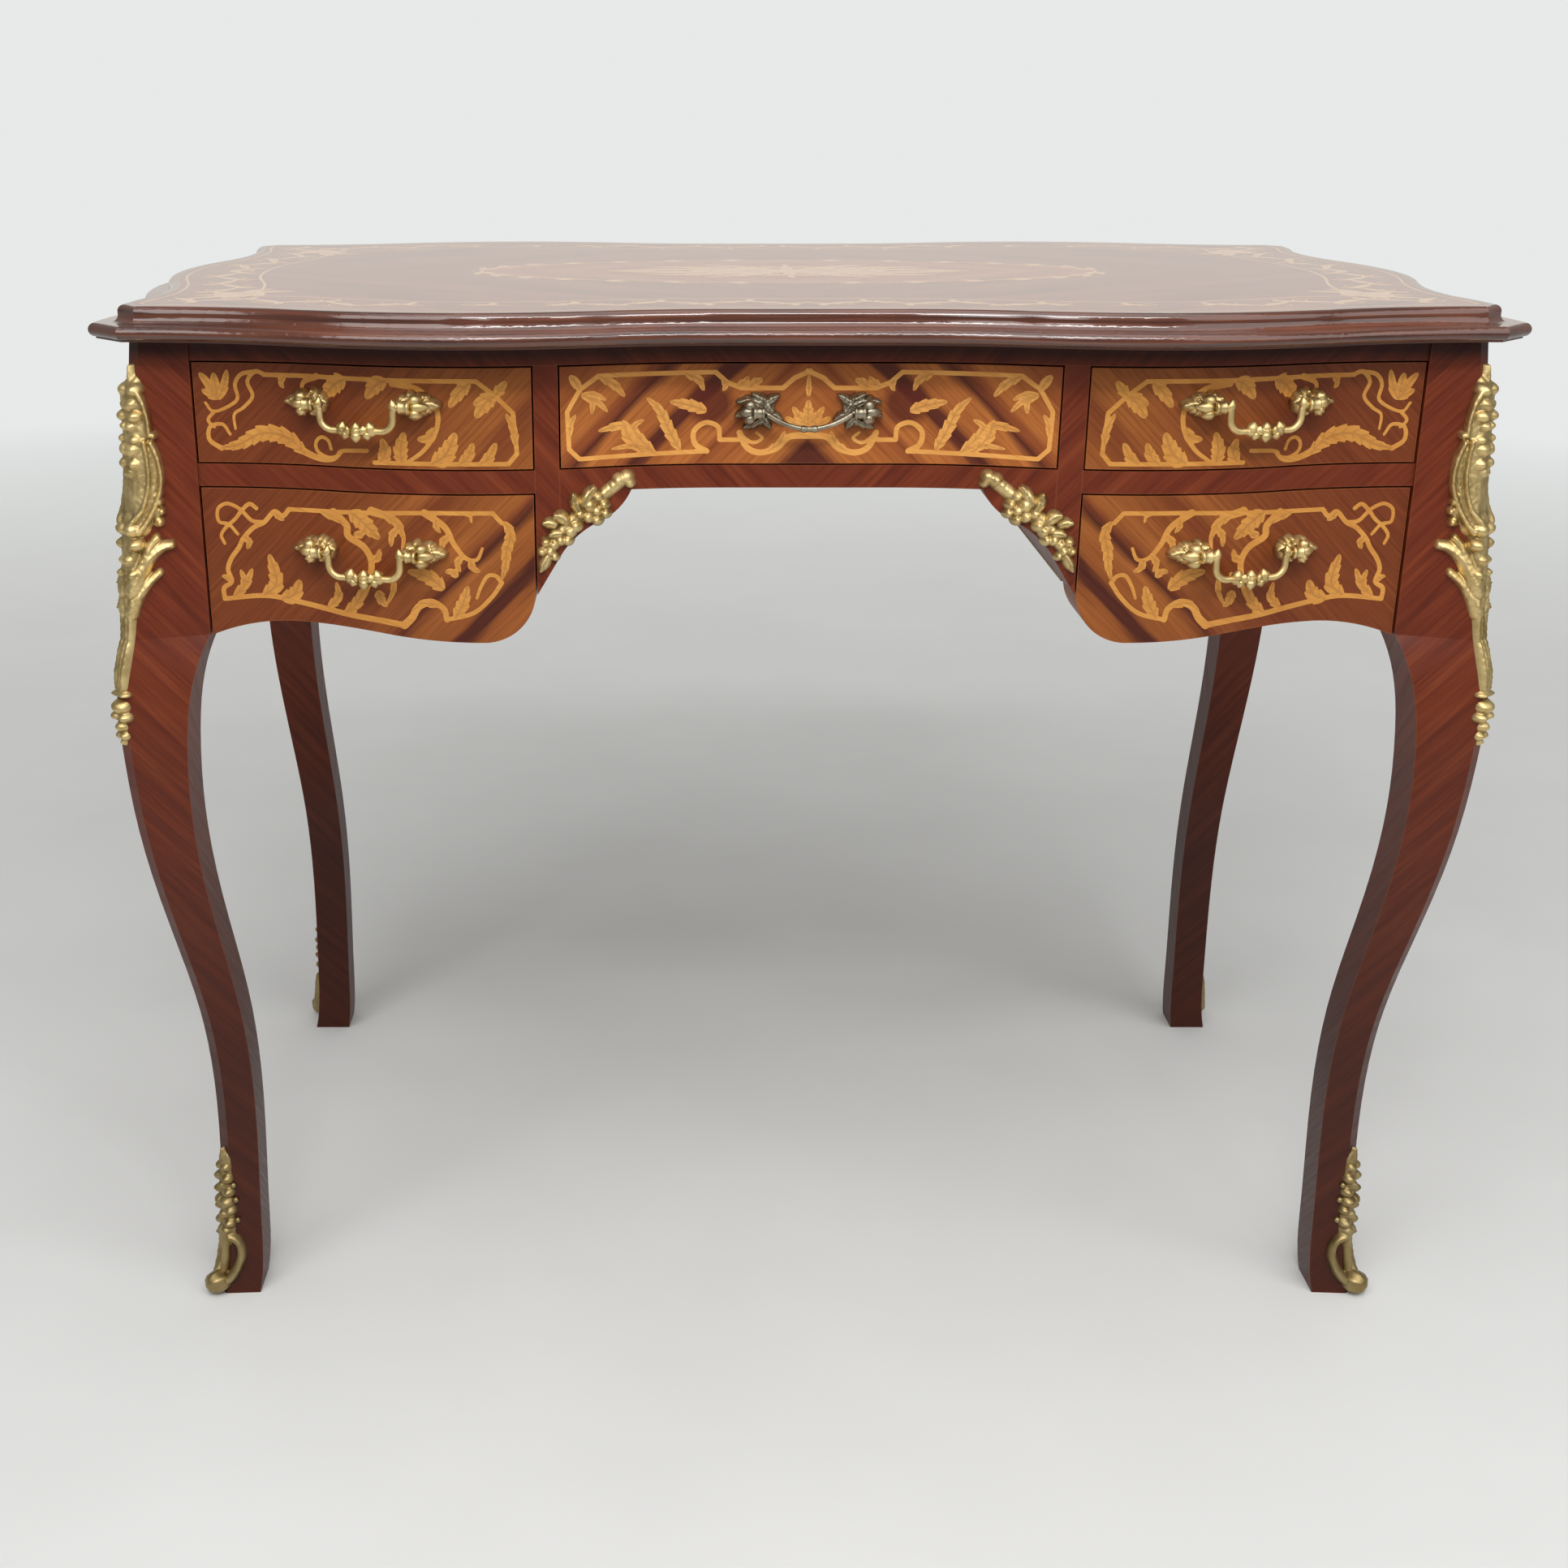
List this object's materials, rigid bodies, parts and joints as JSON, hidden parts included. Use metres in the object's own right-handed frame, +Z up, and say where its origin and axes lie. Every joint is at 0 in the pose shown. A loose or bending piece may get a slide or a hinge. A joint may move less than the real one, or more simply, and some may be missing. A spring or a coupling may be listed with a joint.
{
  "type": "writing desk",
  "caption": "Serpentine-front writing desk with veneered drawers, floral inlay, moulded top, cabriole legs and cast gilt mounts.",
  "frame": {"origin": "on the floor, under the middle of the desk", "axes": "+Z up, the drawers face -Y, +X to the right of somebody looking at the drawers"},
  "size_m": [1.034, 0.66, 0.8],
  "materials": {
    "case_veneer": "gloss",
    "drawer_veneer": "gloss",
    "top_veneer": "gloss",
    "moulding_wood": "gloss",
    "inner_wood": "matte",
    "gilt_brass": "satin",
    "dark_brass": "satin",
    "steel": "satin"
  },
  "bodies": {
    "carcass": {"top_panel": "top_veneer", "top_moulding": "moulding_wood", "top_screws": "steel", "top_glue_blocks": "inner_wood", "front_top_rail": "case_veneer", "kneehole_apron": "case_veneer", "mid_rail_left": "case_veneer", "mid_rail_right": "case_veneer", "stile_left": "case_veneer", "stile_right": "case_veneer", "partition_left": "inner_wood", "partition_right": "inner_wood", "side_panel_left": "case_veneer", "side_panel_right": "case_veneer", "back_panel": "case_veneer", "drawer_runners": "inner_wood", "spandrel_mount_left": "gilt_brass", "spandrel_mount_right": "gilt_brass", "leg_front_left": "case_veneer", "leg_front_right": "case_veneer", "leg_rear_left": "case_veneer", "leg_rear_right": "case_veneer", "knee_mount_front_left": "gilt_brass", "knee_mount_front_right": "gilt_brass", "knee_mount_rear_left": "gilt_brass", "knee_mount_rear_right": "gilt_brass", "sabot_front_left": "gilt_brass", "sabot_front_right": "gilt_brass", "sabot_rear_left": "gilt_brass", "sabot_rear_right": "gilt_brass"},
    "drawer_upper_left": {"upper_drawer_front_left": "drawer_veneer", "upper_drawer_sides_left": "inner_wood", "upper_drawer_back_left": "inner_wood", "upper_drawer_bottom_left": "inner_wood", "upper_drawer_posts_left": "gilt_brass"},
    "bail_upper_left": {"upper_drawer_bail_left": "gilt_brass"},
    "drawer_upper_right": {"upper_drawer_front_right": "drawer_veneer", "upper_drawer_sides_right": "inner_wood", "upper_drawer_back_right": "inner_wood", "upper_drawer_bottom_right": "inner_wood", "upper_drawer_posts_right": "gilt_brass"},
    "bail_upper_right": {"upper_drawer_bail_right": "gilt_brass"},
    "drawer_centre": {"centre_drawer_front": "drawer_veneer", "centre_drawer_sides": "inner_wood", "centre_drawer_back": "inner_wood", "centre_drawer_bottom": "inner_wood", "centre_drawer_posts": "dark_brass"},
    "bail_centre": {"centre_drawer_bail": "dark_brass"},
    "drawer_lower_left": {"lower_drawer_front_left": "drawer_veneer", "lower_drawer_sides_left": "inner_wood", "lower_drawer_back_left": "inner_wood", "lower_drawer_bottom_left": "inner_wood", "lower_drawer_posts_left": "gilt_brass"},
    "bail_lower_left": {"lower_drawer_bail_left": "gilt_brass"},
    "drawer_lower_right": {"lower_drawer_front_right": "drawer_veneer", "lower_drawer_sides_right": "inner_wood", "lower_drawer_back_right": "inner_wood", "lower_drawer_bottom_right": "inner_wood", "lower_drawer_posts_right": "gilt_brass"},
    "bail_lower_right": {"lower_drawer_bail_right": "gilt_brass"}
  },
  "joints": [
    {"name": "drawer_upper_left_slide", "type": "slide", "parent": "carcass", "child": "drawer_upper_left", "axis": [0, -1, 0], "range_m": [0, 0.3]},
    {"name": "bail_upper_left_swing", "type": "hinge", "parent": "drawer_upper_left", "child": "bail_upper_left", "pos_m": [-0.3123, -0.29444, 0.7365], "axis": [-0.9755, 0.2199, 0], "range_deg": [0, 85]},
    {"name": "drawer_upper_right_slide", "type": "slide", "parent": "carcass", "child": "drawer_upper_right", "axis": [0, -1, 0], "range_m": [0, 0.3]},
    {"name": "bail_upper_right_swing", "type": "hinge", "parent": "drawer_upper_right", "child": "bail_upper_right", "pos_m": [0.3123, -0.29444, 0.7365], "axis": [-0.9755, -0.2199, 0], "range_deg": [0, 85]},
    {"name": "drawer_centre_slide", "type": "slide", "parent": "carcass", "child": "drawer_centre", "axis": [0, -1, 0], "range_m": [0, 0.3]},
    {"name": "bail_centre_swing", "type": "hinge", "parent": "drawer_centre", "child": "bail_centre", "pos_m": [0, -0.281, 0.7295], "axis": [-1, 0, 0], "range_deg": [0, 85]},
    {"name": "drawer_lower_left_slide", "type": "slide", "parent": "carcass", "child": "drawer_lower_left", "axis": [0, -1, 0], "range_m": [0, 0.3]},
    {"name": "bail_lower_left_swing", "type": "hinge", "parent": "drawer_lower_left", "child": "bail_lower_left", "pos_m": [-0.3123, -0.29444, 0.6325], "axis": [-0.9755, 0.2199, 0], "range_deg": [0, 85]},
    {"name": "drawer_lower_right_slide", "type": "slide", "parent": "carcass", "child": "drawer_lower_right", "axis": [0, -1, 0], "range_m": [0, 0.3]},
    {"name": "bail_lower_right_swing", "type": "hinge", "parent": "drawer_lower_right", "child": "bail_lower_right", "pos_m": [0.3123, -0.29444, 0.6325], "axis": [-0.9755, -0.2199, 0], "range_deg": [0, 85]}
  ]
}
